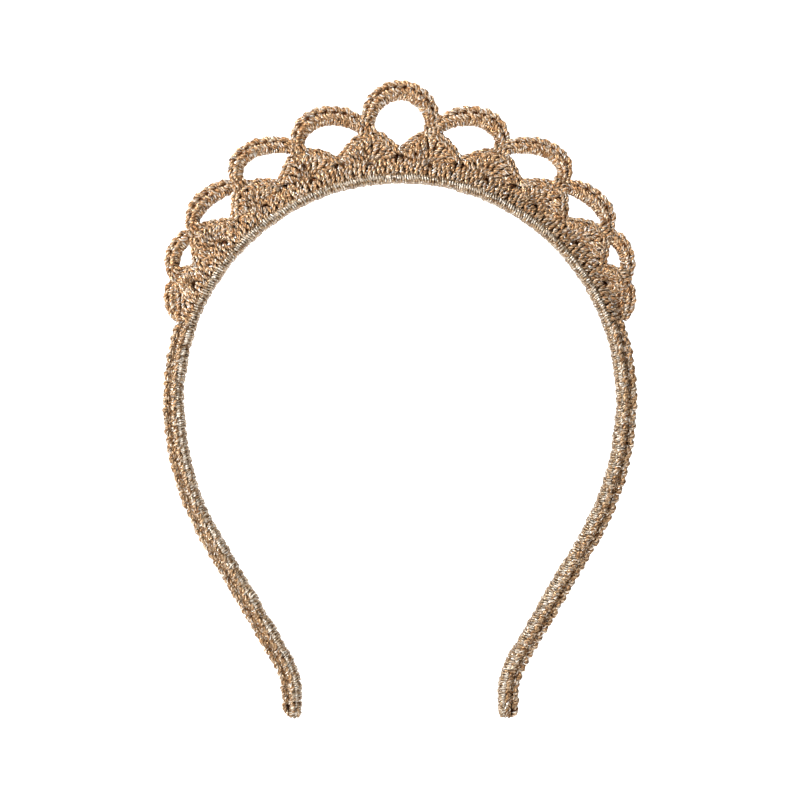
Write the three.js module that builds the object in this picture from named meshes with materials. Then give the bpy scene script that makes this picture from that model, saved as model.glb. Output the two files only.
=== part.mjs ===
// Crocheted crown on a narrow alice band.
// Lengths are in millimetres: X runs across the head, Y is depth (the wearer looks along -Y), Z is up.
// The origin is the middle of the inner face at the top of the arch.
import * as THREE from 'three';

// --- the curve of the band, given for its inner face ---
const ARCH_RADIUS = 56.2; // half circle over the head
const SIDE_RADIUS = 69.4; // gentler curve below the widest point
const HOOK_RADIUS = 20.5; // turn-back at the foot of each leg
const LEG_LEAN = 30.4; // degrees by which the legs lean inwards
const LEG_STRAIGHT = 36.2;
const FOOT_STRAIGHT = 6.1;

// --- the steel strip and the crochet round it ---
const GAP = 0.3; // clearance kept between separate pieces
const STRIP_WIDTH = 5.0;
const STRIP_THICKNESS = 1.2;
const STRIP_OFFSET = 1.7; // inner face of the crochet to the middle of the strip
const STRIP_END = 2.4; // how far short of the foot the strip stops
const STRIP_TIP_SHARE = 0.8; // size of the blunt ends of the strip, as a share of its section
const CHANNEL_PLAY = 0.1; // more room over the flats of the strip, where the band bends
const SLEEVE_DEPTH = 7.2;
const CROWN_THICKNESS = 3.9;
const LEG_THICKNESS = 5.0;
const FOOT_THICKNESS = 4.2;
const FOOT_SLIMMING = 14; // the legs go down to the foot's thickness over this length
const LACE_ANGLE = 70; // the crown lace ends here, degrees from the top
const FLEX_ANGLE = 90; // the bending zone ends here
const BINDING_LENGTH = 4.2;
const SWEEP_STEP = 2.9;

// --- the crown lace ---
const BASE_RADIUS = ARCH_RADIUS + CROWN_THICKNESS + GAP; // foot of the fans, from the arch centre
const POSTS = 7; // tall stitches in a fan
const FAN_HALF_DEPTH = 1.3;
// Along a tall stitch from the pit to the rim: how far, and its half depth on a stitch and between two.
const FAN_ROWS = [
  { at: 0, ridge: 0.55, groove: 0.45 },
  { at: 0.3, ridge: 0.85, groove: 0.6 },
  { at: 0.62, ridge: 1, groove: 0.66 },
  { at: 0.86, ridge: 1.12, groove: 0.95 },
  { at: 1, ridge: 0.6, groove: 0.5 },
];
const PIT_RADIUS = 1.0; // small hollow that a fan springs from
const KNOT_HALF_WIDTH = 2.6;
const KNOT_HALF_HEIGHT = 1.35;
const KNOT_HALF_DEPTH = 2.1;
const KNOT_DROP = 0.5; // middle of a knot below the tip it stands at
const KNOT_SIDES = 12;
const KNOT_MARGIN = 1.06; // flat facets come a little nearer than the oval that is tested
const STITCH = 2.2; // length of one stitch along an arch
const ARCH_HALF_WIDTH = 2.75;
const ARCH_HALF_DEPTH = 1.8;
const ARCH_LEAST_DEPTH = 0.75; // an arch keeps this share of its depth at its narrow feet
const ARCH_WAIST = 0.93; // width between two stitches, as a share of the width on a stitch
const FOOT_TAPER = 0.3; // share of an arch over which each foot narrows
const TRIM_STEP = 0.004; // share of an arch by which its ends are trimmed until they clear the knots

// Fans from the middle outwards. Angles in degrees from the top, radii from the arch centre.
const FANS = [
  { name: 'fan_1', from: 0, pit: 7.2, to: 14.3, valleys: [65.4, 65.0], tip: [6.8, 70.7] },
  { name: 'fan_2', from: 14.3, pit: 21.4, to: 29.0, valleys: [65.0, 65.2], tip: [22.2, 70.3] },
  { name: 'fan_3', from: 29.0, pit: 34.9, to: 42.8, valleys: [65.2, 64.2], tip: [36.8, 69.9] },
  { name: 'fan_4', from: 42.8, pit: 48.4, to: 56.7, valleys: [64.2, 64.0], tip: [50.4, 69.6] },
  { name: 'fan_5', from: 56.7, pit: 60.6, to: 65.0, valleys: [64.0, 61.4], tip: [60.8, 67.1] },
];

// Arches as cubic curves, in angle and radius. An arch starts beside one fan tip and comes down on the next.
// Widths are shares of the widest: at the start, at the crest and at the end.
// Fans are counted by their place in the list above; the end scallop comes down on the band instead.
const CENTRE_ARCH = {
  fans: [0, 0], curve: [[-6.9, 71.4], [-5.6, 83.6], [5.6, 83.6], [6.9, 71.4]], widths: [0.64, 1, 0.64],
};
const ARCHES = [
  {
    name: 'arch_1', fans: [0, 1], widths: [0.74, 1, 0.64],
    curve: [[9.1, 73.3], [12.3, 77.2], [19.8, 78.6], [22.1, 71.1]],
  },
  {
    name: 'arch_2', fans: [1, 2], widths: [0.66, 0.86, 0.6],
    curve: [[24.0, 72.5], [27.4, 76.0], [35.2, 78.4], [36.8, 70.7]],
  },
  {
    name: 'arch_3', fans: [2, 3], widths: [0.66, 0.94, 0.6],
    curve: [[38.9, 71.6], [41.8, 73.2], [47.6, 73.8], [50.3, 70.4]],
  },
  {
    name: 'arch_4', fans: [3, 4], widths: [0.56, 0.76, 0.56],
    curve: [[52.4, 70.5], [54.8, 71.3], [58.6, 70.2], [60.9, 67.5]],
  },
  {
    name: 'end_scallop', fans: [4], widths: [0.6, 0.72, 0.56],
    curve: [[63.2, 66.8], [64.9, 66.5], [67.6, 64.4], [69.3, 62.3]],
  },
];

const FABRIC = { color: 0xab8e6c, roughness: 0.45, metalness: 0.6 };
const STEEL = { color: 0xb9bcc0, roughness: 0.3, metalness: 1.0 };

const crown = new THREE.Group();
crown.name = 'crochet_crown';

function addPiece(name, geometry, look) {
  const mesh = new THREE.Mesh(geometry, new THREE.MeshStandardMaterial(look));
  mesh.name = name;
  crown.add(mesh);
}

// A point given by its angle from the top and its radius from the arch centre.
function polar(degrees, radius) {
  const angle = THREE.MathUtils.degToRad(degrees);
  return new THREE.Vector2(radius * Math.sin(angle), radius * Math.cos(angle) - ARCH_RADIUS);
}

// Closed geometry from points and triangles, turned so that its faces look outwards.
function closedGeometry(points, triangles) {
  let volume = 0;
  for (const [a, b, c] of triangles) {
    volume += points[a].dot(points[b].clone().cross(points[c]));
  }
  const index = triangles.flatMap(([a, b, c]) => (volume < 0 ? [a, c, b] : [a, b, c]));
  const geometry = new THREE.BufferGeometry();
  geometry.setAttribute('position', new THREE.Float32BufferAttribute(points.flatMap((p) => p.toArray()), 3));
  geometry.setIndex(index);
  geometry.computeVertexNormals();
  return geometry;
}

// Skins a run of rings that all have the same number of points.
function skin(rings, points, triangles) {
  const start = points.length;
  const count = rings[0].length;
  for (const ring of rings) {
    points.push(...ring);
  }
  for (let i = 0; i + 1 < rings.length; i += 1) {
    for (let k = 0; k < count; k += 1) {
      const a = start + i * count + k;
      const b = start + i * count + ((k + 1) % count);
      triangles.push([a, b, b + count], [a, b + count, a + count]);
    }
  }
  return start;
}

// A swept solid. A station is where a section stands: centre, outward direction and its clockwise outline.
// The channel, when there is one, is a second run of stations; it may stop short of the far end.
function sweep(stations, channel = []) {
  const place = ({ centre, outward, outline }) => outline.map(
    (p) => new THREE.Vector3(centre.x + outward.x * p.y, p.x, centre.y + outward.y * p.y));
  const points = [];
  const triangles = [];
  const outer = skin(stations.map(place), points, triangles);
  const size = stations[0].outline.length;
  const last = outer + (stations.length - 1) * size;
  const through = channel.length === stations.length;
  const inner = points.length;
  const channelSize = channel[0]?.outline.length ?? 0;
  if (channel.length > 0) {
    const reversed = [];
    skin(channel.map(place), points, reversed);
    triangles.push(...reversed.map(([a, b, c]) => [a, c, b]));
  }
  const close = (outlineStart, station, holeStart, holeStation, flip) => {
    const holes = holeStation ? [holeStation.outline] : [];
    const at = (k) => (k < size ? outlineStart + k : holeStart + k - size);
    for (const [a, b, c] of THREE.ShapeUtils.triangulateShape(station.outline, holes)) {
      triangles.push(flip ? [at(a), at(c), at(b)] : [at(a), at(b), at(c)]);
    }
  };
  close(outer, stations[0], inner, channel[0], false);
  const innerLast = inner + (channel.length - 1) * channelSize;
  close(last, stations.at(-1), innerLast, through ? channel.at(-1) : undefined, true);
  if (!through) {
    for (let k = 1; k + 1 < channelSize; k += 1) {
      triangles.push([innerLast, innerLast + k + 1, innerLast + k]);
    }
  }
  return closedGeometry(points, triangles);
}

// The course of the strip's middle line down one side, from the top of the arch.
const COURSE = [
  { radius: ARCH_RADIUS + STRIP_OFFSET, turn: 90 },
  { radius: SIDE_RADIUS + STRIP_OFFSET, turn: LEG_LEAN },
  { length: LEG_STRAIGHT },
  { radius: HOOK_RADIUS - STRIP_OFFSET, turn: -LEG_LEAN },
  { length: FOOT_STRAIGHT },
];

function courseLength(piece) {
  return piece.length ?? piece.radius * THREE.MathUtils.degToRad(Math.abs(piece.turn));
}

const HALF_LENGTH = COURSE.reduce((sum, piece) => sum + courseLength(piece), 0);
const degreesToLength = (degrees) => (ARCH_RADIUS + STRIP_OFFSET) * THREE.MathUtils.degToRad(degrees);
const outwardAt = (heading) => new THREE.Vector2(Math.sin(heading), Math.cos(heading));

// Where the strip's middle line is after a length from the top; negative lengths run down the left side.
function courseAt(length) {
  let left = Math.abs(length);
  let heading = 0;
  let point = new THREE.Vector2(0, STRIP_OFFSET);
  for (const piece of COURSE) {
    const used = Math.min(left, courseLength(piece));
    if (piece.turn === undefined) {
      point.add(new THREE.Vector2(Math.cos(heading), -Math.sin(heading)).multiplyScalar(used));
    } else {
      const way = Math.sign(piece.turn);
      const centre = point.clone().addScaledVector(outwardAt(heading), -piece.radius * way);
      heading += (used / piece.radius) * way;
      point = centre.addScaledVector(outwardAt(heading), piece.radius * way);
    }
    left -= used;
  }
  const outward = outwardAt(heading);
  if (length < 0) {
    point.x = -point.x;
    outward.x = -outward.x;
  }
  return { point, outward };
}

// Outline of the crochet across the band: flat inside, rounded sides, two low ridges outside.
function sleeveOutline(thickness, shrink = 1) {
  const half = (SLEEVE_DEPTH / 2) * shrink;
  const middle = STRIP_OFFSET;
  const side = [
    [half * 0.47, thickness],
    [half * 0.83, thickness - 0.55],
    [half, thickness - 1.4],
    [half, 1.1],
    [half * 0.92, 0.35],
    [half * 0.72, 0],
  ];
  const outline = [[0, thickness - 0.35], ...side, ...side.map(([x, y]) => [-x, y]).reverse()];
  return outline.map(([x, y]) => new THREE.Vector2(x, (y - middle) * shrink));
}

function rectangle(width, height) {
  const corners = [[1, 1], [1, -1], [-1, -1], [-1, 1]];
  return corners.map(([x, y]) => new THREE.Vector2((x * width) / 2, (y * height) / 2));
}

function stationsAlong(from, to, step, outlineAt) {
  const count = Math.round(Math.abs(to - from) / step / 2) * 2 + 1;
  return Array.from({ length: count + 1 }, (_, i) => {
    const length = from + ((to - from) * i) / count;
    const { point, outward } = courseAt(length);
    return { centre: point, outward, outline: outlineAt(Math.abs(length)) };
  });
}

const LACE_END = degreesToLength(LACE_ANGLE);
const FLEX_END = degreesToLength(FLEX_ANGLE);
const BINDING_START = HALF_LENGTH - BINDING_LENGTH;

// Thickness of the crochet: thin under the lace, full on the legs, slimmer towards the feet.
function thicknessAt(length) {
  const swell = THREE.MathUtils.smoothstep(length, LACE_END, FLEX_END);
  const slimming = THREE.MathUtils.smoothstep(length, BINDING_START - FOOT_SLIMMING, BINDING_START);
  return CROWN_THICKNESS + swell * (LEG_THICKNESS - CROWN_THICKNESS)
    + slimming * (FOOT_THICKNESS - LEG_THICKNESS);
}

const CHANNEL = rectangle(STRIP_WIDTH + 2 * GAP, STRIP_THICKNESS + 2 * GAP + CHANNEL_PLAY);

function addSleeve(name, from, to) {
  const outside = stationsAlong(from, to, SWEEP_STEP, (length) => sleeveOutline(thicknessAt(length)));
  addPiece(name, sweep(outside, stationsAlong(from, to, SWEEP_STEP, () => CHANNEL)), FABRIC);
}

// The foot of the crochet: a blind pocket over the end of the strip, drawn in to a round end.
function addBinding(name, side) {
  const ends = [
    [BINDING_START, 1],
    [HALF_LENGTH - STRIP_END, 1],
    [HALF_LENGTH - 1.0, 0.88],
    [HALF_LENGTH - 0.3, 0.66],
    [HALF_LENGTH, 0.36],
  ];
  const stationAt = (length, outline) => {
    const { point, outward } = courseAt(side * length);
    return { centre: point, outward, outline };
  };
  const outside = ends.map(([length, shrink]) => stationAt(length, sleeveOutline(FOOT_THICKNESS, shrink)));
  const pocketEnd = HALF_LENGTH - STRIP_END + GAP;
  const pocket = [BINDING_START, pocketEnd].map((length) => stationAt(length, CHANNEL));
  addPiece(name, sweep(outside, pocket), FABRIC);
}

// --- band ---
const stripReach = HALF_LENGTH - STRIP_END;
addPiece('band_core_strip', sweep(stationsAlong(-stripReach, stripReach, SWEEP_STEP, (length) => {
  const share = length > stripReach - SWEEP_STEP / 2 ? STRIP_TIP_SHARE : 1;
  return rectangle(STRIP_WIDTH * share, STRIP_THICKNESS * share);
})), STEEL);
addSleeve('crown_sleeve', -LACE_END, LACE_END);
for (const [side, sign] of [['left', -1], ['right', 1]]) {
  addSleeve(`${side}_temple_sleeve`, sign * (LACE_END + GAP), sign * FLEX_END);
  addSleeve(`${side}_leg_sleeve`, sign * (FLEX_END + GAP), sign * (BINDING_START - GAP));
  addBinding(`${side}_foot_binding`, sign);
}

// --- fans ---
// A fan is drawn flat, across and up from its pit, then wrapped round the band.
// Distance along a ray from the pit to an upright oval, or Infinity when the ray misses it.
function distanceToOval(phi, centre, halfWidth, halfHeight) {
  const ray = new THREE.Vector2(Math.sin(phi) / halfWidth, Math.cos(phi) / halfHeight);
  const middle = new THREE.Vector2(centre.x / halfWidth, centre.y / halfHeight);
  const scale = ray.length();
  ray.divideScalar(scale);
  const along = ray.dot(middle);
  const apart = Math.abs(ray.cross(middle));
  return apart < 1 ? (along - Math.sqrt(1 - apart * apart)) / scale : Infinity;
}

function fanReach(fan, phi) {
  const unit = THREE.MathUtils.degToRad(1) * BASE_RADIUS;
  const outer = phi > 0 ? 1 : 0;
  const half = (outer ? fan.to - fan.pit : fan.pit - fan.from) * unit - GAP / 2;
  const valley = new THREE.Vector2(half, fan.valleys[outer] - BASE_RADIUS);
  const knot = new THREE.Vector2((fan.tip[0] - fan.pit) * unit, fan.tip[1] - KNOT_DROP - BASE_RADIUS);
  const valleyAngle = Math.atan2(valley.x, valley.y);
  const rise = Math.max(0, 1 - Math.abs(phi) / valleyAngle) ** 2;
  const roof = THREE.MathUtils.lerp(valley.length(), knot.length(), rise);
  const wall = half / Math.max(1e-6, Math.abs(Math.sin(phi)));
  const underKnot = distanceToOval(phi, knot, KNOT_HALF_WIDTH + 2 * GAP, KNOT_HALF_HEIGHT + 2 * GAP);
  return Math.min(roof, wall, underKnot);
}

function addFan(fan, side, sign) {
  const columns = 2 * POSTS + 1;
  const points = [];
  const triangles = [];
  for (const face of [-1, 1]) {
    for (let i = 0; i < columns; i += 1) {
      const phi = Math.PI * (i / (columns - 1) - 0.5);
      const reach = fanReach(fan, phi);
      FAN_ROWS.forEach((row) => {
        const distance = THREE.MathUtils.lerp(PIT_RADIUS, reach, row.at);
        const across = THREE.MathUtils.radToDeg((distance * Math.sin(phi)) / BASE_RADIUS);
        const up = distance * Math.max(0, Math.cos(phi));
        const at = polar(fan.pit + across, BASE_RADIUS + up);
        const half = FAN_HALF_DEPTH * (i % 2 ? row.ridge : row.groove);
        points.push(new THREE.Vector3(sign * at.x, face * half, at.y));
      });
    }
  }
  const rows = FAN_ROWS.length;
  const back = columns * rows;
  const at = (i, j) => i * rows + j;
  for (let i = 0; i + 1 < columns; i += 1) {
    for (let j = 0; j + 1 < rows; j += 1) {
      const [a, b, c, d] = [at(i, j), at(i + 1, j), at(i + 1, j + 1), at(i, j + 1)];
      triangles.push([a, b, c], [a, c, d]);
      triangles.push([back + a, back + c, back + b], [back + a, back + d, back + c]);
    }
  }
  const rim = [];
  for (let i = 0; i < columns; i += 1) rim.push(at(i, 0));
  for (let j = 1; j < rows; j += 1) rim.push(at(columns - 1, j));
  for (let i = columns - 2; i >= 0; i -= 1) rim.push(at(i, rows - 1));
  for (let j = rows - 2; j > 0; j -= 1) rim.push(at(0, j));
  rim.forEach((a, k) => {
    const b = rim[(k + 1) % rim.length];
    triangles.push([a, back + b, b], [a, back + a, back + b]);
  });
  addPiece(`${side}_${fan.name}`, closedGeometry(points, triangles), FABRIC);
}

// --- knots that tie each fan tip to the feet of its two arches ---
function addKnot(name, [angle, radius], sign) {
  const profile = [[0, -1], [0.62, -0.86], [1, -0.4], [1, 0.4], [0.62, 0.86], [0, 1]];
  const outline = profile.map(([r, y]) => new THREE.Vector2(r, y * KNOT_HALF_DEPTH));
  const geometry = new THREE.LatheGeometry(outline, KNOT_SIDES);
  const centre = polar(angle, radius - KNOT_DROP);
  geometry.scale(KNOT_HALF_WIDTH, 1, KNOT_HALF_HEIGHT);
  geometry.rotateY(sign * THREE.MathUtils.degToRad(angle));
  geometry.translate(sign * centre.x, 0, centre.y);
  addPiece(name, geometry, FABRIC);
}

// --- arches ---
// Outline across an arch: a pair of chain ridges outside, a narrower rounded edge inside.
const ARCH_OUTLINE = [
  [0, 0.88], [0.5, 1], [0.95, 0.6], [1, -0.35], [0.6, -0.95],
  [-0.6, -0.95], [-1, -0.35], [-0.95, 0.6], [-0.5, 1],
];

// How far a point is outside the clearance round a knot; negative inside it.
function outsideKnot(point, [angle, radius], sign) {
  const offset = point.clone().sub(polar(sign * angle, radius - KNOT_DROP));
  offset.rotateAround(new THREE.Vector2(), sign * THREE.MathUtils.degToRad(angle));
  return Math.hypot(offset.x / (KNOT_HALF_WIDTH + GAP), offset.y / (KNOT_HALF_HEIGHT + GAP)) - KNOT_MARGIN;
}

// An arch follows its curve from knot to knot, narrows to its feet and swells once per stitch.
function addArch(name, { curve, fans, widths }, sign) {
  const path = new THREE.CubicBezierCurve(...curve.map(([angle, radius]) => polar(sign * angle, radius)));
  const tips = fans.map((fan) => FANS[fan].tip);
  const centreSign = (end) => (name === 'centre_arch' && end === 0 ? -1 : 1);
  const stationAt = (t, swell) => {
    const way = path.getTangent(t);
    const foot = t < 0.5 ? widths[0] : widths[2];
    const fullness = THREE.MathUtils.smoothstep(Math.min(t, 1 - t), 0, FOOT_TAPER);
    const width = THREE.MathUtils.lerp(foot, widths[1], fullness) * swell;
    const depth = Math.max(ARCH_LEAST_DEPTH, width) * ARCH_HALF_DEPTH;
    const outline = ARCH_OUTLINE.map(([u, v]) => new THREE.Vector2(u * depth, v * width * ARCH_HALF_WIDTH));
    const outward = new THREE.Vector2(-way.y, way.x).multiplyScalar(sign);
    return { centre: path.getPoint(t), outward, outline };
  };
  const clears = (t, end) => {
    const { centre, outward, outline } = stationAt(t, 1);
    const at = (y) => centre.clone().addScaledVector(outward, y);
    return tips[end] === undefined
      || outline.every(({ y }) => outsideKnot(at(y), tips[end], sign * centreSign(end)) > 0);
  };
  let start = 0;
  let finish = 1;
  while (!clears(start, 0)) start += TRIM_STEP;
  while (!clears(finish, 1)) finish -= TRIM_STEP;
  const steps = 2 * Math.round((path.getLength() * (finish - start)) / STITCH);
  const stations = Array.from({ length: steps + 1 }, (_, i) => (
    stationAt(THREE.MathUtils.lerp(start, finish, i / steps), i % 2 ? 1 : ARCH_WAIST)));
  addPiece(name, sweep(stations), FABRIC);
}

addArch('centre_arch', CENTRE_ARCH, 1);
for (const [side, sign] of [['left', -1], ['right', 1]]) {
  for (const fan of FANS) {
    addFan(fan, side, sign);
    addKnot(`${side}_knot_${fan.name.at(-1)}`, fan.tip, sign);
  }
  for (const arch of ARCHES) {
    addArch(`${side}_${arch.name}`, arch, sign);
  }
}

export default crown;
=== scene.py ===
"""Crocheted crown headband: a narrow alice band covered in metallic yarn, with shell fans and arches.

The strands are worked out in millimetres in the frame of the CAD part and turned into metres when a mesh
is made; the studio is in metres. X runs across the head, Y is depth (the front looks towards -Y) and Z is
up. Every piece takes the place of one node of the CAD part, apart from the strip, which becomes two halves.
"""

import math

import bpy
import numpy as np
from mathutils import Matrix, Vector

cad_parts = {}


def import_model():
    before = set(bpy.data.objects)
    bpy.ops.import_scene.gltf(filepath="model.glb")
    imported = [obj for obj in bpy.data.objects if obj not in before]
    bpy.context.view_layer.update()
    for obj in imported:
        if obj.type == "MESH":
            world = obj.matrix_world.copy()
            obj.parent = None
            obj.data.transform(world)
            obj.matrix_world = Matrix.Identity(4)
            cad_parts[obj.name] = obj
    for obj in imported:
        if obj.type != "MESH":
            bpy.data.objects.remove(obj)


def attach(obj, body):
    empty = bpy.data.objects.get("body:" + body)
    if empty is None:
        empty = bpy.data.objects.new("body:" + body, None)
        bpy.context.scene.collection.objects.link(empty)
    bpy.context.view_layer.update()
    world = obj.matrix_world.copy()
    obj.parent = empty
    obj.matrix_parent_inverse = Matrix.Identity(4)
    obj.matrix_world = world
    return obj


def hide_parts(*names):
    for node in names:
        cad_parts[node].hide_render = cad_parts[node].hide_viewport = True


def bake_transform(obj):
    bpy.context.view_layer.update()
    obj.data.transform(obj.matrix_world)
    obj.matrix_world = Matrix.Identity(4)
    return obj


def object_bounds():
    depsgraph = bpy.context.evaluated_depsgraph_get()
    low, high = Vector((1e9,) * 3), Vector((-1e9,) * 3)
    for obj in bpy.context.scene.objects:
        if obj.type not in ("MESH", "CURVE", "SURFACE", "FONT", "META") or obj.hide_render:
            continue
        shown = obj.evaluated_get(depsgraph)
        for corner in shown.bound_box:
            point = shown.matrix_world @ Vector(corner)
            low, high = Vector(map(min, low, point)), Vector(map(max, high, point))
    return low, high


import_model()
cad_low, cad_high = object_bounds()

MM = 0.001
# The unevenness of hand work all comes from this one seeded source.
rng = np.random.default_rng(7)

# --- the band, as the CAD part has it ---
ARCH_RADIUS = 56.2
SIDE_RADIUS = 69.4
HOOK_RADIUS = 20.5
LEG_LEAN = math.radians(30.4)
LEG_STRAIGHT = 36.2
FOOT_STRAIGHT = 6.1
STRIP_OFFSET = 1.7
STRIP_WIDTH = 5.0
STRIP_THICKNESS = 1.2
STRIP_CORNER = 0.35
STRIP_END = 2.4
LACE_ANGLE = math.radians(70)
BINDING_LENGTH = 4.2
CENTRE_RADIUS = ARCH_RADIUS + STRIP_OFFSET
RAIL_SPACING = 0.1

# --- yarn: three plies laid together; where it is pulled tight round the band the plies lie side by side ---
PLY_RADIUS = 0.39
TWIST_LENGTH = 3.1
WRAP_TWIST_LENGTH = 4.3
# How far apart a strand's rings of points are.
RING_SPACING = 0.36
WRAP_SPACING = 0.44
# Round one ply: its radius as a share of the strand's, and how far out of the groove each point stands, which
# sets how much painted groove shade it gets.
PLY_PROFILE = (1.0, 0.88, 0.56, 0.88)
PLY_RELIEF = (1.0, 0.8, 0.1, 0.8)

# --- stitches ---
BAND_STITCH = 2.36
ARCH_STITCH = 2.2
ROOF_STITCH = 2.5
SHELL_STITCH = 2.2
BINDING_STITCH = 2.1
WRAP_PITCH = 0.66
CHAIN_HEIGHT = 0.8

# --- tone of the yarn: 0 is the copper of the lace, 1 is champagne ---
BAND_PALENESS = 0.62

# --- lace, as the CAD part has it: angles in degrees from the top, radii from the centre of the arch ---
BASE_RADIUS = 60.4
KNOT_DROP = 0.5
FANS = [
    {"from": 0.0, "pit": 7.2, "to": 14.3, "valleys": (65.4, 65.0), "tip": (6.8, 70.7)},
    {"from": 14.3, "pit": 21.4, "to": 29.0, "valleys": (65.0, 65.2), "tip": (22.2, 70.3)},
    {"from": 29.0, "pit": 34.9, "to": 42.8, "valleys": (65.2, 64.2), "tip": (36.8, 69.9)},
    {"from": 42.8, "pit": 48.4, "to": 56.7, "valleys": (64.2, 64.0), "tip": (50.4, 69.6)},
    {"from": 56.7, "pit": 60.6, "to": 65.0, "valleys": (64.0, 61.4), "tip": (60.8, 67.1)},
]
# Each arch is a Bezier curve, with the width of its two feet and its crest as shares of the full stitch.
CENTRE_ARCH = {"curve": [(-6.9, 71.4), (-5.6, 83.6), (5.6, 83.6), (6.9, 71.4)], "widths": (0.64, 1.0, 0.64)}
ARCHES = {
    "arch_1": {
        "curve": [(9.1, 73.3), (12.3, 77.2), (19.8, 78.6), (22.1, 71.1)],
        "widths": (0.74, 1.0, 0.64),
    },
    "arch_2": {
        "curve": [(24.0, 72.5), (27.4, 76.0), (35.2, 78.4), (36.8, 70.7)],
        "widths": (0.66, 0.86, 0.6),
    },
    "arch_3": {
        "curve": [(38.9, 71.6), (41.8, 73.2), (47.6, 73.8), (50.3, 70.4)],
        "widths": (0.66, 0.94, 0.6),
    },
    "arch_4": {
        "curve": [(52.4, 70.5), (54.8, 71.3), (58.6, 70.2), (60.9, 67.5)],
        "widths": (0.56, 0.76, 0.56),
    },
    "end_scallop": {
        "curve": [(63.2, 66.8), (64.9, 66.5), (67.6, 64.4), (69.3, 62.3)],
        "widths": (0.6, 0.72, 0.56),
        "infill": [(62.4, 65.0), (64.6, 62.6), (66.4, 61.8), (69.6, 60.9)],
    },
}


# ---------------------------------------------------------------- curves

def polar(degrees, radius):
    """A point in the X-Z plane from its angle from the top and its radius from the arch centre."""
    angle = np.radians(degrees)
    return np.stack([radius * np.sin(angle), radius * np.cos(angle) - ARCH_RADIUS], axis=-1)


def spline(points, spacing):
    """Even points along a Catmull-Rom curve through the given points."""
    p = np.asarray(points, float)
    p = np.vstack([2 * p[0] - p[1], p, 2 * p[-1] - p[-2]])
    steps = 8
    t = np.arange(steps)[:, None] / steps
    parts = []
    for a, b, c, d in zip(p[:-3], p[1:-2], p[2:-1], p[3:]):
        parts.append(0.5 * (2 * b + (c - a) * t + (2 * a - 5 * b + 4 * c - d) * t**2
                            + (3 * b - a - 3 * c + d) * t**3))
    return even(np.vstack([*parts, p[-2:-1]]), spacing)


def even(path, spacing):
    """The same path with evenly spaced points."""
    run = np.concatenate([[0], np.cumsum(np.linalg.norm(np.diff(path, axis=0), axis=1))])
    count = max(2, int(round(run[-1] / spacing)) + 1)
    at = np.linspace(0, run[-1], count)
    return np.stack([np.interp(at, run, path[:, k]) for k in range(path.shape[1])], axis=1)


class Rail:
    """A curve in the X-Z plane that stitches are laid along; it runs from left to right."""

    def __init__(self, points):
        self.points = even(np.asarray(points, float), RAIL_SPACING)
        steps = np.linalg.norm(np.diff(self.points, axis=0), axis=1)
        self.run = np.concatenate([[0], np.cumsum(steps)])
        self.length = self.run[-1]
        way = np.gradient(self.points, axis=0)
        way /= np.linalg.norm(way, axis=1)[:, None]
        self.outward = np.stack([-way[:, 1], way[:, 0]], axis=1)

    def place(self, along, depth, out):
        """Points at a distance along the rail, a depth in Y and a distance outwards."""
        along, depth, out = np.broadcast_arrays(along, depth, out)
        beyond = along - np.clip(along, 0, self.length)
        x, z, ox, oz = [np.interp(along, self.run, v) for v in (*self.points.T, *self.outward.T)]
        return np.stack([x + ox * out + oz * beyond, depth, z + oz * out - ox * beyond], axis=-1)


def band_course():
    """The strip's middle line from the left foot over the top to the right foot."""
    pieces = [
        (CENTRE_RADIUS * math.pi / 2, 1 / CENTRE_RADIUS),
        ((SIDE_RADIUS + STRIP_OFFSET) * LEG_LEAN, 1 / (SIDE_RADIUS + STRIP_OFFSET)),
        (LEG_STRAIGHT, 0.0),
        ((HOOK_RADIUS - STRIP_OFFSET) * LEG_LEAN, -1 / (HOOK_RADIUS - STRIP_OFFSET)),
        (FOOT_STRAIGHT, 0.0),
    ]
    step = 0.02
    bend = np.concatenate([np.full(int(round(length / step)), curvature) for length, curvature in pieces])
    heading = np.cumsum(bend) * step - bend * step / 2
    x = np.concatenate([[0], np.cumsum(np.cos(heading)) * step])
    z = np.concatenate([[0], -np.cumsum(np.sin(heading)) * step]) + STRIP_OFFSET
    half = np.stack([x, z], axis=1)
    left = half[:0:-1] * (-1, 1)
    return Rail(np.vstack([left, half])), len(bend) * step


BAND, HALF_LENGTH = band_course()
LACE_END = CENTRE_RADIUS * LACE_ANGLE
FLEX_END = CENTRE_RADIUS * math.pi / 2
BINDING_START = HALF_LENGTH - BINDING_LENGTH


def smoothstep(value, low, high):
    """A smooth rise from 0 at low to 1 at high."""
    t = np.clip((value - low) / (high - low), 0, 1)
    return t * t * (3 - 2 * t)


# ---------------------------------------------------------------- yarn meshes

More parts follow.
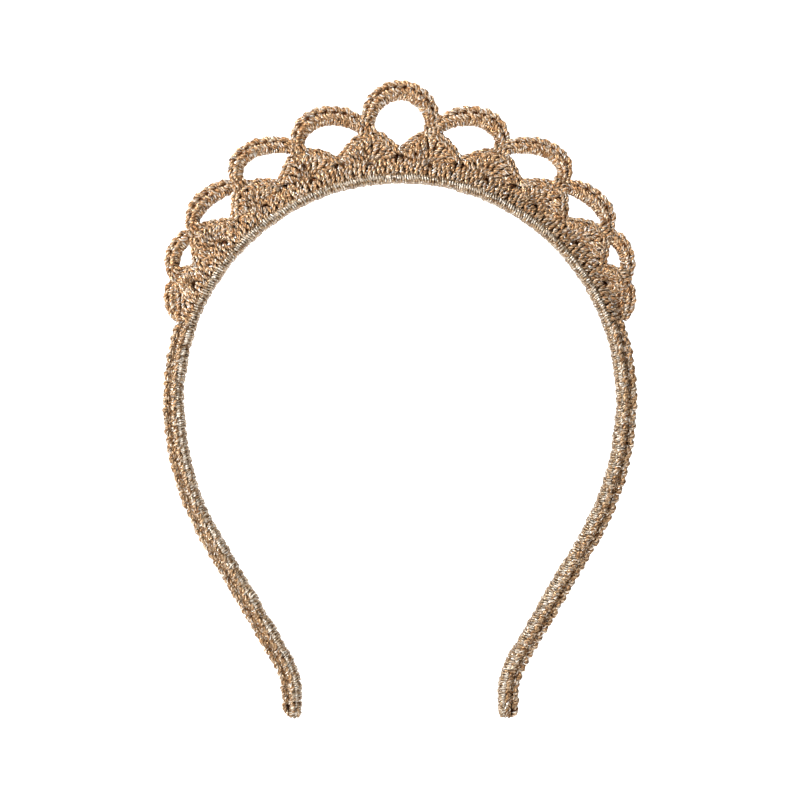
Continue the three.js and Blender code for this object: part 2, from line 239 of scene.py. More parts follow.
class Yarn:
    """Collects strands and turns them into one mesh."""

    def __init__(self, pale=0.0):
        self.points, self.faces, self.marks, self.tones_and_painted_light = [], [], [], []
        self.count = 0
        self.pale = pale

    def add(self, path, radius, plies=3, twist=TWIST_LENGTH, pale=None):
        """A strand along evenly spaced points. radius is a number or one value for each point."""
        path = np.asarray(path, float)
        n = len(path)
        way = np.gradient(path, axis=0)
        way /= np.linalg.norm(way, axis=1)[:, None] + 1e-12
        side = carried_normals(way)
        up = np.cross(way, side)
        run = np.concatenate([[0], np.cumsum(np.linalg.norm(np.diff(path, axis=0), axis=1))])
        radius = np.broadcast_to(np.asarray(radius, float), (n,))
        shape = np.tile(PLY_PROFILE, plies)
        relief = np.tile(PLY_RELIEF, plies)
        around = np.linspace(0, 2 * np.pi, len(shape), endpoint=False)
        turn = (run / twist * 2 * np.pi + rng.random() * 2 * np.pi)[:, None] + around
        r = radius[:, None] * shape
        ring = (path[:, None, :] + side[:, None, :] * (r * np.cos(turn))[..., None]
                + up[:, None, :] * (r * np.sin(turn))[..., None])
        # Each strand starts at a place of its own in the material's pattern.
        place = rng.random() * 80
        lengthways = np.repeat((run + place)[:, None], len(shape), axis=1)[..., None]
        mark = np.stack([np.tile(np.cos(around), (n, 1)), np.tile(np.sin(around), (n, 1))], axis=-1)
        mark = np.concatenate([mark * radius.mean(), lengthways], axis=-1)
        # The attribute holds the relief, which sets the painted groove shade, the paleness, whose part above 1 is
        # a painted highlight, and one random number for each strand.
        tone_and_painted_light = np.empty((n, len(shape), 3))
        tone_and_painted_light[..., 0] = relief
        tone_and_painted_light[..., 1] = self.pale if pale is None else pale
        tone_and_painted_light[..., 2] = rng.random()
        self.tube(ring, mark, tone_and_painted_light)

    def tube(self, ring, mark, tone_and_painted_light):
        """A closed skin over rings of points, with a fan of triangles on each end."""
        n, k = ring.shape[:2]
        base = self.count
        i = np.arange(n - 1)[:, None] * k
        j = np.arange(k)[None, :]
        a, b = base + i + j, base + i + (j + 1) % k
        first, last, far = base + n * k, base + n * k + 1, base + (n - 1) * k
        j = np.arange(k)
        near = np.stack([base + (j + 1) % k, base + j, np.full(k, first), np.full(k, first)], axis=-1)
        end = np.stack([far + j, far + (j + 1) % k, np.full(k, last), np.full(k, last)], axis=-1)
        self.faces += [np.stack([a, b, b + k, a + k], axis=-1).reshape(-1, 4), near, end]
        for store, rows in ((self.points, ring), (self.marks, mark), (self.tones_and_painted_light, tone_and_painted_light)):
            store += [rows.reshape(-1, 3), rows[[0, -1]].mean(axis=1)]
        self.count += n * k + 2

    def mesh(self, name):
        """The mesh of all strands. A face whose last two corners are the same is a triangle."""
        points = np.concatenate(self.points) * MM
        faces = np.concatenate(self.faces)
        triangle = faces[:, 2] == faces[:, 3]
        sizes = np.where(triangle, 3, 4)
        kept = np.stack([np.ones_like(triangle)] * 3 + [~triangle], axis=1)
        loops = faces.ravel()[kept.ravel()]
        mesh = bpy.data.meshes.new(name)
        mesh.vertices.add(len(points))
        mesh.vertices.foreach_set("co", points.astype(np.float32).ravel())
        mesh.loops.add(len(loops))
        mesh.loops.foreach_set("vertex_index", loops.astype(np.int32))
        mesh.polygons.add(len(sizes))
        starts = np.concatenate([[0], np.cumsum(sizes)[:-1]])
        mesh.polygons.foreach_set("loop_start", starts.astype(np.int32))
        mesh.polygons.foreach_set("use_smooth", np.ones(len(sizes), bool))
        for label, rows in (("yarn", self.marks), ("tone_and_painted_light", self.tones_and_painted_light)):
            attribute = mesh.attributes.new(label, "FLOAT_VECTOR", "POINT")
            attribute.data.foreach_set("vector", np.concatenate(rows).astype(np.float32).ravel())
        mesh.update(calc_edges=True)
        mesh.validate()
        return mesh


def carried_normals(way):
    """A normal at each point of a path, carried along it without twisting."""
    start = np.cross(way[0], (0.31, 0.87, 0.39))
    normal = start / np.linalg.norm(start)
    normals = np.empty_like(way)
    for i, w in enumerate(way):
        normal = normal - w * (normal @ w)
        normal /= math.sqrt(normal @ normal)
        normals[i] = normal
    return normals


def rounded_oval(half_flat, radius):
    """Even points round an oval of two half circles and two flats, from its outer middle over the front."""
    angle = np.linspace(0, math.pi, 64)
    front = np.stack([-half_flat - radius * np.sin(angle), radius * np.cos(angle)], axis=1)
    loop = np.vstack([[0, radius], front, -front, [0, radius]])
    return even(loop, 0.25)


def wobble(low, high, step, size):
    """Knots of a random curve, as x and y for numpy's interp."""
    x = np.arange(low - step, high + 2 * step, step)
    return x, rng.uniform(-size, size, len(x))


def same_size(along):
    """No change of size along a rail."""
    return np.ones_like(along)


def wrap(yarn, rail, start, stop, half_flat, radius, out, swell, scale=same_size, stitch=BAND_STITCH,
         lean=0.0, painted_highlight=0.0):
    """A strand wound round a rail, leaning and swelling with each stitch, with a painted highlight where it turns
    over.
    """
    loop = rounded_oval(half_flat, radius)
    length = np.linalg.norm(np.diff(loop, axis=0), axis=1).sum()
    turns = (stop - start) / WRAP_PITCH
    count = int(turns * length / WRAP_SPACING)
    t = np.linspace(0, turns, count)
    where = (t % 1) * (len(loop) - 1)
    depth, high = [np.interp(where, np.arange(len(loop)), loop[:, k]) for k in (0, 1)]
    along = start + (stop - start) * t / turns
    size = scale(along)
    wander = np.interp(along, *wobble(start, stop, 0.5 * stitch, 1.0))
    bump = np.abs(np.sin(math.pi * along / stitch)) ** 0.6 - 0.6
    bump += 0.5 * np.interp(along, *wobble(start, stop, stitch, 1.0))
    low = np.clip(-high / radius, 0, 1)
    high = high - swell * bump * low
    depth = depth * (1 + 0.1 * swell * bump)
    along = along + 0.22 * wander * high - lean * high * np.clip(-depth / half_flat, -1, 1)
    jitter = 0.09 * np.interp(t, *wobble(0, turns, 0.5, 1.0))
    # Painted highlight: paler towards the front and back edges, where the strand turns over.
    ridge_highlight = painted_highlight * smoothstep(np.abs(depth), half_flat + 0.9 * radius, half_flat + radius)
    yarn.add(rail.place(along, depth * size, out + (high + jitter * np.sign(high)) * size),
             PLY_RADIUS * (0.7 + 0.3 * size), plies=2, twist=WRAP_TWIST_LENGTH,
             pale=(yarn.pale + ridge_highlight)[:, None])


def shade_liner(yarn, rail, start, stop, half_flat, radius, out=0.0, scale=same_size):
    """The layer under the wraps, painted dark all over, which shows only as painted shade in their grooves."""
    around, step = 1.0, 0.7
    loop = even(rounded_oval(half_flat, radius), around)[-1:0:-1]
    along = np.arange(start, stop + step, step).clip(start, stop)
    size = scale(along)[:, None]
    rings = rail.place(along[:, None], loop[None, :, 0] * size, out + loop[None, :, 1] * size)
    # Relief 0 paints the liner with the darkest groove shade.
    tone_and_painted_light = np.zeros_like(rings)
    tone_and_painted_light[..., 1] = yarn.pale
    yarn.tube(rings, rings, tone_and_painted_light)


# Half a chain stitch: along, across and up, in shares of the stitch, its half width and its height.
LEAF = np.array([
    (-0.16, 0.08, -0.75), (0.14, 0.24, -0.20), (0.50, 0.54, 0.12), (0.86, 0.60, 0.15), (1.18, 0.38, -0.08),
    (1.36, 0.10, -0.75),
])


def chain(yarn, rail, start, stop, pitch, half_width, depth, out, tilt, radius, scale=same_size, pale=None):
    """A row of chain stitches. tilt turns its face from straight outwards (0) to the front (90)."""
    count = max(1, int(round((stop - start) / pitch)))
    pitch = (stop - start) / count
    cos, sin = math.cos(math.radians(tilt)), math.sin(math.radians(tilt))
    for i in range(count):
        size = float(scale(np.array([start + (i + 0.5) * pitch]))[0])
        for hand in (-1, 1):
            along = start + pitch * (i + LEAF[:, 0] + rng.uniform(-0.08, 0.08))
            across = hand * LEAF[:, 1] * half_width * rng.uniform(0.9, 1.12)
            up = LEAF[:, 2] * CHAIN_HEIGHT + rng.uniform(-0.12, 0.1)
            at_depth = depth + across * cos - up * sin
            at_out = out + across * sin + up * cos
            path = spline(rail.place(along, at_depth * size, at_out * size), RING_SPACING)
            t = np.linspace(0, 1, len(path))
            # Full in the middle and thin at both ends, where it goes into the next stitch.
            leaf = 0.62 + 0.46 * np.sin(np.pi * t) ** 0.7
            yarn.add(path, radius * rng.uniform(0.92, 1.08) * leaf * (0.5 + 0.5 * size), pale=pale)


def vees(yarn, rail, start, stop, pitch, low, high, depths, face, pale=None):
    """A row of single crochet seen from its face: pairs of leaves that open outwards from low to high."""
    radius = 0.58
    count = max(1, int(round((stop - start) / pitch)))
    pitch = (stop - start) / count
    reach = np.array([0.0, 0.22, 0.55, 0.85, 1.0])
    lift = np.array([-0.6, 0.0, 0.16, 0.0, -0.6])
    for i in range(count):
        for hand in (-1, 1):
            along = start + pitch * (i + 0.5 + hand * (0.12 + 0.24 * reach) + rng.uniform(-0.07, 0.07))
            out = low + (high - low) * reach + rng.uniform(-0.2, 0.2)
            depth = depths[0] + (depths[1] - depths[0]) * reach + lift + rng.uniform(-0.12, 0.1)
            path = spline(rail.place(along, -face * depth, out), RING_SPACING)
            t = np.linspace(0, 1, len(path))
            leaf = 0.66 + 0.42 * np.sin(np.pi * t) ** 0.7
            yarn.add(path, radius * rng.uniform(0.92, 1.08) * leaf, pale=pale)


def post(yarn, route):
    """A tall stitch: strands wound round each other along a route, drawn together where it leaves the pit."""
    strands, turns = 2, 1.3
    spread, radius = (0.2, 0.5), (0.4, 0.66)
    line = spline(route, RING_SPACING)
    t = np.linspace(0, 1, len(line))
    way = np.gradient(line, axis=0)
    way /= np.linalg.norm(way, axis=1)[:, None]
    side = carried_normals(way)
    up = np.cross(way, side)
    grow = smoothstep(t, 0, 0.8)
    phase = rng.random() * 2 * np.pi
    reach = (spread[0] + (spread[1] - spread[0]) * grow)[:, None]
    for k in range(strands):
        angle = phase + 2 * np.pi * (k / strands + t * turns)
        offset = side * np.cos(angle)[:, None] + up * np.sin(angle)[:, None]
        yarn.add(line + offset * reach, radius[0] + (radius[1] - radius[0]) * grow)


# ---------------------------------------------------------------- the pieces

def band_sleeve(start, stop, lace):
    """The covering of one stretch of band, from start to stop along the strip, measured from the top."""
    yarn = Yarn(pale=BAND_PALENESS)
    low, high = start + HALF_LENGTH, stop + HALF_LENGTH
    row = (yarn, BAND, low, high, BAND_STITCH)
    half_flat = 2.4 if lace else 2.05
    shade_liner(yarn, BAND, low, high, half_flat - 0.1, radius=0.95, out=-0.3)
    if lace:
        wrap(yarn, BAND, low, high, half_flat, radius=0.94, out=-0.38, swell=0.26, lean=0.3, painted_highlight=1.05)
        shade_liner(yarn, BAND, low, high, half_flat=1.3, radius=0.9, out=1.0)
        for face in (1, -1):
            vees(*row, low=-0.15, high=2.8, depths=(2.85, 2.1), face=face, pale=0.15)
    else:
        wrap(yarn, BAND, low, high, half_flat, radius=0.94, out=-0.38, swell=0.44, lean=0.45, painted_highlight=1.25)
        shade_liner(yarn, BAND, low, high, half_flat=1.1, radius=1.0, out=1.5)
        for face in (1, -1):
            chain(*row, half_width=2.25, depth=-2.4 * face, out=1.6, tilt=70 * face, radius=0.76, pale=0.35)
            chain(*row, half_width=0.75, depth=-1.75 * face, out=1.65, tilt=80 * face, radius=0.52, pale=0.1)
        chain(*row, half_width=1.4, depth=0.0, out=2.4, tilt=0, radius=0.74, pale=0.42)
    return yarn


def arch_rail(curve, side):
    """The rail along a Bezier curve whose handles are given as angle and radius, for the given side."""
    handles = [polar(side * angle, radius) for angle, radius in curve]
    t = np.linspace(0, 1, 200)[:, None]
    a, b, c, d = handles
    points = (1 - t) ** 3 * a + 3 * (1 - t) ** 2 * t * b + 3 * (1 - t) * t**2 * c + t**3 * d
    return Rail(points if points[-1, 0] > points[0, 0] else points[::-1])


def toward_knot(curve):
    """The curve with its first end brought down to the knot that its stitches grow out of."""
    angle, radius = curve[0]
    return [(angle - 0.9, radius - 1.3), *curve[1:]]


def arch(curve, widths, side, infill=None):
    """Single crochet over a chain: plies wound round the core and a chain edge along the outside."""
    yarn = Yarn()
    rail = arch_rail(curve, side)
    if infill:
        inner = arch_rail(infill, side)
        shade_liner(yarn, inner, 0.0, inner.length, half_flat=0.3, radius=0.9)
        for face in (1, -1):
            chain(yarn, inner, -0.6, inner.length + 0.2, ARCH_STITCH, half_width=1.3, depth=-1.0 * face,
                  out=0.0, tilt=84 * face, radius=0.66)
    start, crest, end = widths if side > 0 else widths[::-1]

    def scale(along):
        t = along / rail.length
        rise = smoothstep(t, 0, 0.3) * smoothstep(1 - t, 0, 0.3)
        foot = np.where(t < 0.5, start, end)
        return foot + (crest - foot) * rise

    # The chain runs on past both ends, into the knots.
    over = 0.9
    stitch = (rail.length + 2 * over) / round((rail.length + 2 * over) / ARCH_STITCH)
    for middle in (-0.9, 0.9):
        shade_liner(yarn, rail, -0.4, rail.length + 0.4, half_flat=0.15, radius=1.0, out=middle, scale=scale)
    wrap(yarn, rail, -0.5, rail.length + 0.5, half_flat=0.15, radius=1.2, out=-1.0, swell=0.2, scale=scale,
         stitch=stitch)
    row = (yarn, rail, -over, rail.length + over - 0.4, stitch)
    for face in (1, -1):
        chain(*row, half_width=1.85, depth=-1.25 * face, out=0.85, tilt=80 * face, radius=0.8, scale=scale)
    chain(*row, half_width=0.8, depth=0.0, out=1.9, tilt=0, radius=0.6, scale=scale)
    return yarn


def fan_point(pit, u, v):
    """A point of a fan drawn flat, u across and v up from its pit, wrapped round the band."""
    return polar(pit + np.degrees(u / BASE_RADIUS), BASE_RADIUS + v)


def ray_reach(angle, outline):
    """How far a ray from the pit runs, at an angle from upright, before it meets the outline."""
    way = np.array([math.sin(angle), math.cos(angle)])
    a, b = outline[:-1], outline[1:]
    edge = b - a
    cross = way[0] * edge[:, 1] - way[1] * edge[:, 0]
    cross = np.where(np.abs(cross) < 1e-9, 1e-9, cross)
    far = (a[:, 0] * edge[:, 1] - a[:, 1] * edge[:, 0]) / cross
    share = (a[:, 0] * way[1] - a[:, 1] * way[0]) / cross
    hits = far[(share >= -1e-6) & (share <= 1 + 1e-6) & (far > 0)]
    open_side = 3.0
    return hits.min() if len(hits) else open_side


def fan_shade_core(yarn, pit, outline, half_depth):
    """The hidden middle of a fan: a thin slab drawn in from the outline, painted dark all over, which shows as
    painted shade between the stitches.
    """
    count = 33
    angles = np.linspace(-1.62, 1.62, count)
    inset = 0.15 + 0.85 * smoothstep(np.cos(angles), 0.2, 0.7)
    reach = np.array([ray_reach(a, outline) for a in angles]) - inset
    rim = np.stack([reach * np.sin(angles), reach * np.cos(angles)], axis=1)
    rim = np.vstack([rim, [[rim[-1, 0] * 0.5, -0.1], [rim[0, 0] * 0.5, -0.1]]])
    middle = np.array([0.0, 1.6])
    rings = []
    for share, y in ((0.02, -half_depth), (0.9, -half_depth), (1, -0.5 * half_depth), (1, 0.5 * half_depth),
                     (0.9, half_depth), (0.02, half_depth)):
        flat = middle + (rim - middle) * share
        at = fan_point(pit, flat[:, 0], flat[:, 1])
        rings.append(np.stack([at[:, 0], np.full(len(at), y), at[:, 1]], axis=1))
    rings = np.array(rings)
    # All zeros: relief 0 paints the slab with the darkest groove shade.
    yarn.tube(rings, rings, np.zeros_like(rings))


def fan(shape, side):
    """A shell of tall stitches out of one pit, with a chain edge along its roof and a row along its foot."""
    yarn = Yarn()
    pit = side * shape["pit"]
    unit = math.radians(1) * BASE_RADIUS
    ends = [(side * (shape[k] - shape["pit"]) * unit, valley - BASE_RADIUS)
            for k, valley in zip(("from", "to"), shape["valleys"])]
    left, right = sorted(ends)
    tip = side * (shape["tip"][0] - shape["pit"]) * unit, shape["tip"][1] - BASE_RADIUS

    def shoulder(valley, share, rise):
        """A point between a valley and the tip, at a share of the way across and of the way up."""
        return (valley[0] + (tip[0] - valley[0]) * share, valley[1] + (tip[1] - valley[1]) * rise)

    half_tip, tip_drop, valley_drop = 1.7, 0.7, 0.2
    line = spline([
        (left[0], left[1] - valley_drop),
        shoulder(left, 0.42, 0.52),
        (tip[0] - half_tip, tip[1] - tip_drop),
        (tip[0] + half_tip, tip[1] - tip_drop),
        shoulder(right, 0.42, 0.52),
        (right[0], right[1] - valley_drop),
    ], 0.2)
    outline = np.vstack([[left[0], -0.4], line, [right[0], -0.4]])
    fan_shade_core(yarn, pit, outline, half_depth=0.7)

    # Three rows: the chain along the roof, the heads of the posts below it and the foot beside the pit.
    roof_inset, foot_height, pit_gap = 1.15, 0.75, 0.9
    roof = Rail(fan_point(pit, line[:, 0], line[:, 1] - roof_inset))
    heads = Rail(fan_point(pit, line[:, 0] * 0.8, line[:, 1] * 0.9 - 1.9))
    foot = Rail(fan_point(pit, np.linspace(left[0], right[0], 60), np.full(60, foot_height)))
    least_heads, least_foot = 6, 1.2
    pit_at = -left[0]
    posts, widest_lie, shortest_post = 9, math.radians(84), 2.6
    for face in (1, -1):
        chain(yarn, roof, 0.0, roof.length - 0.3, ROOF_STITCH, half_width=1.0, depth=-1.15 * face, out=0.1,
              tilt=72 * face, radius=0.6)
        if heads.length > least_heads:
            vees(yarn, heads, 0.3, heads.length - 0.3, SHELL_STITCH, low=-1.3, high=1.3, depths=(1.5, 1.3),
                 face=face)
        for start, stop in ((-0.3, pit_at - pit_gap), (pit_at + pit_gap, foot.length + 0.3)):
            if stop - start > least_foot:
                vees(yarn, foot, start, stop, SHELL_STITCH, low=-1.2, high=1.5, depths=(1.9, 1.3), face=face)
        for k in range(posts):
            lie = widest_lie * (2 * k / (posts - 1) - 1)
            reach = max(shortest_post, ray_reach(lie, outline) - 1.3)
            flat = [(0.9 * math.sin(lie), 0.5 + 0.9 * math.cos(lie)),
                    (0.55 * reach * math.sin(lie), 0.45 + 0.55 * reach * math.cos(lie)),
                    (reach * math.sin(lie), 0.3 + reach * math.cos(lie))]
            lift = np.array([0.6, 1.1, 1.0]) * -face
            route = [(p[0], y, p[1]) for p, y in zip([fan_point(pit, u, v) for u, v in flat], lift)]
            post(yarn, route)
    return yarn


def knot(tip, side):
    """The stitches that tie a fan tip to the feet of its two arches."""
    yarn = Yarn()
    angle, radius = tip
    centre = polar(side * angle, radius - KNOT_DROP)
    way = polar(side * angle + 0.5, radius) - polar(side * angle - 0.5, radius)
    way *= side / np.linalg.norm(way)
    half_length = 2.4
    rail = Rail([centre - way * half_length, centre + way * half_length])
    shade_liner(yarn, rail, 0.4, 4.4, half_flat=0.3, radius=0.85)
    loop = even(rounded_oval(half_flat=0.75, radius=0.95), 0.8)
    for k, at in enumerate((0.7, 1.85, 2.95, 4.1)):
        lean = 0.45 * (k - 1.5)
        path = spline(rail.place(at + lean * loop[:, 1] * 0.4, loop[:, 0], loop[:, 1]), RING_SPACING)
        yarn.add(path, 0.56)
    return yarn


def binding(side):
    """The foot: the covering runs on, draws in and is closed by strands over the end."""
    yarn = Yarn(pale=BAND_PALENESS)
    if side > 0:
        low, high = BINDING_START + HALF_LENGTH, 2 * HALF_LENGTH
        covered, worked, end = (low, high - 0.4), (low, high - 1.6), high - 0.45
    else:
        low, high = 0.0, BINDING_LENGTH
        covered, worked, end = (low + 0.4, high), (low + 1.2, high), low + 0.45

    def scale(along):
        left = (high - along) if side > 0 else (along - low)
        return 0.42 + 0.58 * smoothstep(left, -0.6, 2.4)

    shade_liner(yarn, BAND, *covered, half_flat=1.95, radius=0.95, out=-0.3, scale=scale)
    shade_liner(yarn, BAND, *covered, half_flat=1.1, radius=0.9, out=1.2, scale=scale)
    wrap(yarn, BAND, *covered, half_flat=2.05, radius=0.94, out=-0.38, swell=0.3, scale=scale, lean=0.3,
         painted_highlight=1.0)
    row = (yarn, BAND, *worked, BINDING_STITCH)
    for face in (1, -1):
        chain(*row, half_width=2.1, depth=-2.3 * face, out=1.5, tilt=68 * face, radius=0.76, scale=scale,
              pale=0.4)
    chain(*row, half_width=1.3, depth=0.0, out=1.9, tilt=0, radius=0.68, scale=scale, pale=0.4)
    # Three strands go from the front over the end to the back.
    reach = np.array([2.6, 1.3, 0.35, 0.0, 0.35, 1.3, 2.6])
    depth = np.array([-3.0, -2.6, -1.5, 0.0, 1.5, 2.6, 3.0])
    for out in (-0.75, 0.15, 1.0):
        yarn.add(spline(BAND.place(end - side * reach, depth, out), RING_SPACING), 0.5)
    return yarn


# ---------------------------------------------------------------- materials

def node(tree, kind, **values):
    """A new node. A value named in_X is set on the node's input X, any other on the node itself."""
    made = tree.nodes.new(kind)
    for key, value in values.items():
        if key.startswith("in_"):
            made.inputs[key[3:].replace("_", " ")].default_value = value
        else:
            setattr(made, key, value)
    return made


def ramp(tree, stops):
    """A colour ramp with the given places and colours."""
    made = tree.nodes.new("ShaderNodeValToRGB")
    elements = made.color_ramp.elements
    while len(elements) < len(stops):
        elements.new(0.5)
    for element, (at, colour) in zip(elements, stops):
        element.position = at
        element.color = (*colour, 1)
    return made


def lurex(name):
    """Metallic yarn: plies of copper or champagne film, with painted shade in the grooves between them and a
    painted highlight where the wraps turn over the band.
    """
    material = bpy.data.materials.new(name)
    material.use_nodes = True
    tree = material.node_tree
    link = tree.links.new
    shader = tree.nodes["Principled BSDF"]
    shader.inputs["Metallic"].default_value = 0.75

    # The two attributes of the strands: the place in the pattern, and relief, which sets the painted groove
    # shade, and paleness, which sets the tone and, above 1, the painted highlight.
    mark = node(tree, "ShaderNodeAttribute", attribute_name="yarn")
    tone_and_painted_light = node(tree, "ShaderNodeAttribute", attribute_name="tone_and_painted_light")
    traits = node(tree, "ShaderNodeSeparateXYZ")
    link(tone_and_painted_light.outputs["Vector"], traits.inputs[0])

    # Flecks of film, each with one tone from the ramp of its colour.
    film = node(tree, "ShaderNodeVectorMath", operation="MULTIPLY")
    film.inputs[1].default_value = (1.5, 1.5, 0.62)
    link(mark.outputs["Vector"], film.inputs[0])
    flecks = node(tree, "ShaderNodeTexVoronoi", in_Scale=2.0)
    link(film.outputs[0], flecks.inputs["Vector"])
    split = node(tree, "ShaderNodeSeparateColor")
    link(flecks.outputs["Color"], split.inputs[0])

    copper = ramp(tree, [(0.0, (0.17, 0.076, 0.028)), (0.28, (0.42, 0.238, 0.108)),
                         (0.6, (0.68, 0.468, 0.27)), (0.81, (0.93, 0.82, 0.66)), (0.92, (1.0, 0.99, 0.96))])
    champagne = ramp(tree, [(0.0, (0.09, 0.053, 0.025)), (0.28, (0.195, 0.13, 0.07)),
                            (0.6, (0.34, 0.255, 0.155)), (0.84, (0.60, 0.50, 0.36)),
                            (0.95, (1.0, 0.96, 0.86))])
    for colours in (copper, champagne):
        link(split.outputs[0], colours.inputs[0])
    blend = node(tree, "ShaderNodeMix", data_type="RGBA")
    link(traits.outputs[1], blend.inputs["Factor"])
    link(copper.outputs[0], blend.inputs[6])
    link(champagne.outputs[0], blend.inputs[7])
    # A paleness above 1 stands for a painted highlight: the yarn is painted bright where it turns round the band.
    beyond = node(tree, "ShaderNodeMath", operation="SUBTRACT", use_clamp=True)
    beyond.inputs[1].default_value = 1.0
    link(traits.outputs[1], beyond.inputs[0])
    highlight_mix = node(tree, "ShaderNodeMix", data_type="RGBA")
    highlight_mix.inputs[7].default_value = (0.98, 0.93, 0.84, 1)
    link(beyond.outputs[0], highlight_mix.inputs["Factor"])
    link(blend.outputs[2], highlight_mix.inputs[6])

    # Fine filaments that run along each ply.
    streaks = node(tree, "ShaderNodeTexNoise", in_Scale=5.0, in_Detail=3.0, in_Roughness=0.7)
    stretch = node(tree, "ShaderNodeVectorMath", operation="MULTIPLY")
    stretch.inputs[1].default_value = (2.4, 2.4, 0.5)
    link(mark.outputs["Vector"], stretch.inputs[0])
    link(stretch.outputs[0], streaks.inputs["Vector"])
    filaments = ramp(tree, [(0.32, (0.58, 0.45, 0.33)), (0.62, (1.0, 1.0, 1.0))])
    link(streaks.outputs["Fac"], filaments.inputs[0])
    shade = node(tree, "ShaderNodeMix", data_type="RGBA", blend_type="MULTIPLY")
    shade.inputs["Factor"].default_value = 0.8
    link(highlight_mix.outputs[2], shade.inputs[6])
    link(filaments.outputs[0], shade.inputs[7])

    # Painted shade: dark in the grooves between the plies, darkest where the relief is 0, as on the liners and
    # fan cores.
    painted_groove_shade = ramp(tree, [(0.0, (0.30, 0.165, 0.085)), (0.1, (0.55, 0.41, 0.29)), (0.7, (1.0, 1.0, 1.0))])
    link(traits.outputs[0], painted_groove_shade.inputs[0])
    groove_shaded = node(tree, "ShaderNodeMix", data_type="RGBA", blend_type="MULTIPLY")
    groove_shaded.inputs["Factor"].default_value = 1.0
    link(shade.outputs[2], groove_shaded.inputs[6])
    link(painted_groove_shade.outputs[0], groove_shaded.inputs[7])
    link(groove_shaded.outputs[2], shader.inputs["Base Color"])

    rough = node(tree, "ShaderNodeMapRange")
    rough.inputs["To Min"].default_value = 0.46
    rough.inputs["To Max"].default_value = 0.2
    link(split.outputs[1], rough.inputs["Value"])
    link(rough.outputs[0], shader.inputs["Roughness"])

    # Each fleck of film lies at an angle of its own.
    lie = node(tree, "ShaderNodeVectorMath", operation="SUBTRACT")
    lie.inputs[1].default_value = (0.5, 0.5, 0.5)
    link(flecks.outputs["Color"], lie.inputs[0])
    bump = node(tree, "ShaderNodeBump", in_Strength=0.5, in_Distance=0.0001)
    link(streaks.outputs["Fac"], bump.inputs["Height"])
    tilted = node(tree, "ShaderNodeVectorMath", operation="ADD")
    link(bump.outputs[0], tilted.inputs[0])
    link(lie.outputs[0], tilted.inputs[1])
    unit = node(tree, "ShaderNodeVectorMath", operation="NORMALIZE")
    link(tilted.outputs[0], unit.inputs[0])
    link(unit.outputs[0], shader.inputs["Normal"])
    return material


def steel(name):
    """Bare spring steel with a fine grain."""
    material = bpy.data.materials.new(name)
    material.use_nodes = True
    tree = material.node_tree
    shader = tree.nodes["Principled BSDF"]
    shader.inputs["Base Color"].default_value = (0.55, 0.56, 0.58, 1)
    shader.inputs["Metallic"].default_value = 1.0
    grain = node(tree, "ShaderNodeTexNoise", in_Scale=2400.0, in_Detail=2.0)
    place = node(tree, "ShaderNodeTexCoord")
    tree.links.new(place.outputs["Object"], grain.inputs["Vector"])
    rough = node(tree, "ShaderNodeMapRange")
    rough.inputs["To Min"].default_value = 0.22
    rough.inputs["To Max"].default_value = 0.42
    tree.links.new(grain.outputs["Fac"], rough.inputs["Value"])
    tree.links.new(rough.outputs[0], shader.inputs["Roughness"])
    return material


def paper(name):
    """Plain white studio paper."""
    material = bpy.data.materials.new(name)
    material.use_nodes = True
    shader = material.node_tree.nodes["Principled BSDF"]
    shader.inputs["Base Color"].default_value = (0.93, 0.93, 0.93, 1)
    shader.inputs["Roughness"].default_value = 0.9
    shader.inputs["Emission Color"].default_value = (1, 1, 1, 1)
    shader.inputs["Emission Strength"].default_value = 0.25
    return material


YARN = lurex("metallic_yarn")
STEEL = steel("spring_steel")


# ---------------------------------------------------------------- assembly

def finish_piece(yarn, name, node_name):
    """The piece that the strands make, in place of one node of the CAD part."""
    mesh = yarn.mesh(name)
    piece = bpy.data.objects.new(name, mesh)
    bpy.context.scene.collection.objects.link(piece)
    mesh.materials.append(YARN)
    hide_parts(node_name)
    return piece


def point_on_band(length):
    """A point of the strip's middle line, in metres, for a length from the top."""
    return tuple(BAND.place(np.array([length + HALF_LENGTH]), 0.0, 0.0)[0] * MM)


def strip_half(side):
    """Half of the steel strip, with rounded edges, as it is rolled."""
    reach = HALF_LENGTH - STRIP_END
    lengths = np.linspace(0, reach, 90)
    outline = []
    for across, up, first in ((1, 1, 0), (-1, 1, 90), (-1, -1, 180), (1, -1, 270)):
        for turn in (0, 30, 60, 90):
            a = math.radians(first + turn)
            outline.append((across * (STRIP_WIDTH / 2 - STRIP_CORNER) + STRIP_CORNER * math.cos(a),
                            up * (STRIP_THICKNESS / 2 - STRIP_CORNER) + STRIP_CORNER * math.sin(a)))
    outline = np.array(outline)
    at = side * lengths[:, None] + HALF_LENGTH
    # The last half millimetre is drawn in.
    blunt = np.where(lengths > reach - 0.5, 0.85, 1.0)[:, None]
    rings = BAND.place(at, outline[None, :, 0] * blunt, outline[None, :, 1] * blunt) * MM
    k, n = len(outline), len(lengths)
    i = np.arange(n - 1)[:, None] * k
    j = np.arange(k)[None, :]
    a, b = i + j, i + (j + 1) % k
    quads = np.stack([a, b, b + k, a + k], axis=-1).reshape(-1, 4)
    if side < 0:
        quads = quads[:, ::-1]
    ends = [list(range(k)), list(range((n - 1) * k, n * k))]
    ends[0 if side > 0 else 1].reverse()
    mesh = bpy.data.meshes.new("strip")
    mesh.from_pydata(rings.reshape(-1, 3).tolist(), [], quads.tolist() + ends)
    mesh.materials.append(STEEL)
    name = f"strip_{'right' if side > 0 else 'left'}_half"
    piece = bpy.data.objects.new(name, mesh)
    bpy.context.scene.collection.objects.link(piece)
    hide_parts("band_core_strip")
    return piece


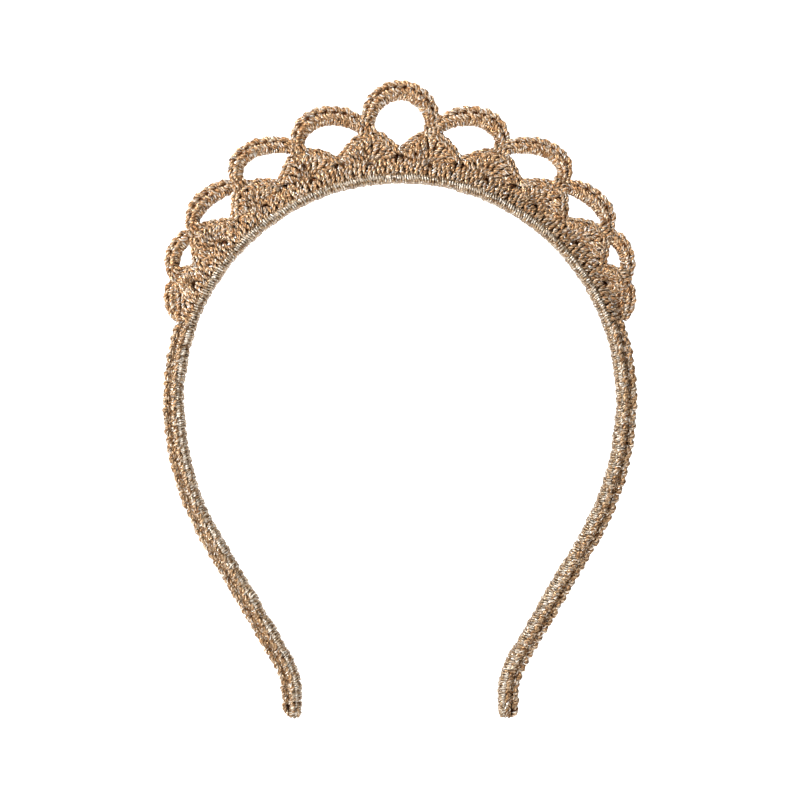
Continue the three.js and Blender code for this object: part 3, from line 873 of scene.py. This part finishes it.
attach(finish_piece(band_sleeve(-LACE_END, LACE_END, True), "crown_covering", "crown_sleeve"), "crown")
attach(finish_piece(arch(**CENTRE_ARCH, side=1), "middle_arch", "centre_arch"), "crown")
for word, side in (("left", -1), ("right", 1)):
    leg = f"{word}_leg"
    bend = [point_on_band(side * length) for length in (LACE_END, FLEX_END)]
    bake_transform(strip_half(side))
    stretch = sorted((side * LACE_END, side * FLEX_END))
    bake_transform(finish_piece(band_sleeve(*stretch, False), f"{word}_temple_covering", f"{word}_temple_sleeve"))
    stretch = sorted((side * FLEX_END, side * BINDING_START))
    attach(finish_piece(band_sleeve(*stretch, False), f"{word}_leg_covering", f"{word}_leg_sleeve"), leg)
    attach(finish_piece(binding(side), f"{word}_foot_closing", f"{word}_foot_binding"), leg)
    for index, shape in enumerate(FANS):
        name = f"{word}_fan_{index + 1}"
        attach(finish_piece(fan(shape, side), f"{name}_shell", name), "crown")
        name = f"{word}_knot_{index + 1}"
        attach(finish_piece(knot(shape["tip"], side), f"{name}_stitches", name), "crown")
    for kind, shape in ARCHES.items():
        name = f"{word}_{kind}"
        stitches = arch(toward_knot(shape["curve"]), shape["widths"], side, shape.get("infill"))
        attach(finish_piece(stitches, f"{name}_stitches", name), "crown")


# ---------------------------------------------------------------- studio

def cove(low):
    """Floor and backdrop in one sheet, with a wide curve between them."""
    width, front, back, bend, top = 8.0, -5.0, 0.9, 0.5, 2.2
    steps = 12
    profile = [(front, low), (back - bend, low)]
    for k in range(1, steps + 1):
        a = math.radians(90 * k / steps)
        profile.append((back - bend + bend * math.sin(a), low + bend * (1 - math.cos(a))))
    profile.append((back, low + top))
    points = [(x, y, z) for y, z in profile for x in (-width / 2, width / 2)]
    faces = [(2 * i, 2 * i + 1, 2 * i + 3, 2 * i + 2) for i in range(len(profile) - 1)]
    mesh = bpy.data.meshes.new("studio_cove")
    mesh.from_pydata(points, [], faces)
    mesh.polygons.foreach_set("use_smooth", [True] * len(faces))
    mesh.materials.append(paper("studio_paper"))
    sheet = bpy.data.objects.new("studio_cove", mesh)
    bpy.context.scene.collection.objects.link(sheet)


def area_light(name, place, target, size, power):
    """A white softbox at a place, turned to a target."""
    data = bpy.data.lights.new(name, "AREA")
    data.shape = "RECTANGLE"
    data.size, data.size_y = size
    data.energy = power
    lamp = bpy.data.objects.new(name, data)
    lamp.location = place
    lamp.rotation_euler = (Vector(target) - Vector(place)).to_track_quat("-Z", "Y").to_euler()
    bpy.context.scene.collection.objects.link(lamp)


def camera():
    """Straight on to the front, level with the middle of the arch's circle."""
    lens, sensor, picture_width, middle = 100.0, 36.0, 0.208, -0.0564
    data = bpy.data.cameras.new("camera")
    data.lens = lens
    data.sensor_width = sensor
    made = bpy.data.objects.new("camera", data)
    made.location = (0, -picture_width * lens / sensor, middle)
    made.rotation_euler = (math.radians(90), 0, 0)
    bpy.context.scene.collection.objects.link(made)
    bpy.context.scene.camera = made


def world():
    """A dim room all round, which the camera sees as white."""
    made = bpy.data.worlds.new("studio")
    bpy.context.scene.world = made
    made.use_nodes = True
    tree = made.node_tree
    room = tree.nodes["Background"]
    room.inputs["Color"].default_value = (0.9, 0.92, 0.95, 1)
    room.inputs["Strength"].default_value = 0.24
    white = tree.nodes.new("ShaderNodeBackground")
    white.inputs["Color"].default_value = (1, 1, 1, 1)
    seen = tree.nodes.new("ShaderNodeLightPath")
    either = tree.nodes.new("ShaderNodeMixShader")
    tree.links.new(seen.outputs["Is Camera Ray"], either.inputs[0])
    tree.links.new(room.outputs[0], either.inputs[1])
    tree.links.new(white.outputs[0], either.inputs[2])
    tree.links.new(either.outputs[0], tree.nodes["World Output"].inputs["Surface"])


bpy.context.scene.view_settings.view_transform = "Standard"
# The feet swing down by up to 4 mm as the legs spread, so the paper lies lower than that.
PAPER_DROP = 0.0045
cove(cad_low.z - PAPER_DROP)
world()
area_light("key", (-0.86, -0.6, 0.52), (0, 0, -0.05), (0.32, 0.32), 20.5)
area_light("back_wash", (0.0, 0.1, 1.6), (0, 0.7, 0.1), (1.6, 0.8), 26)
camera()
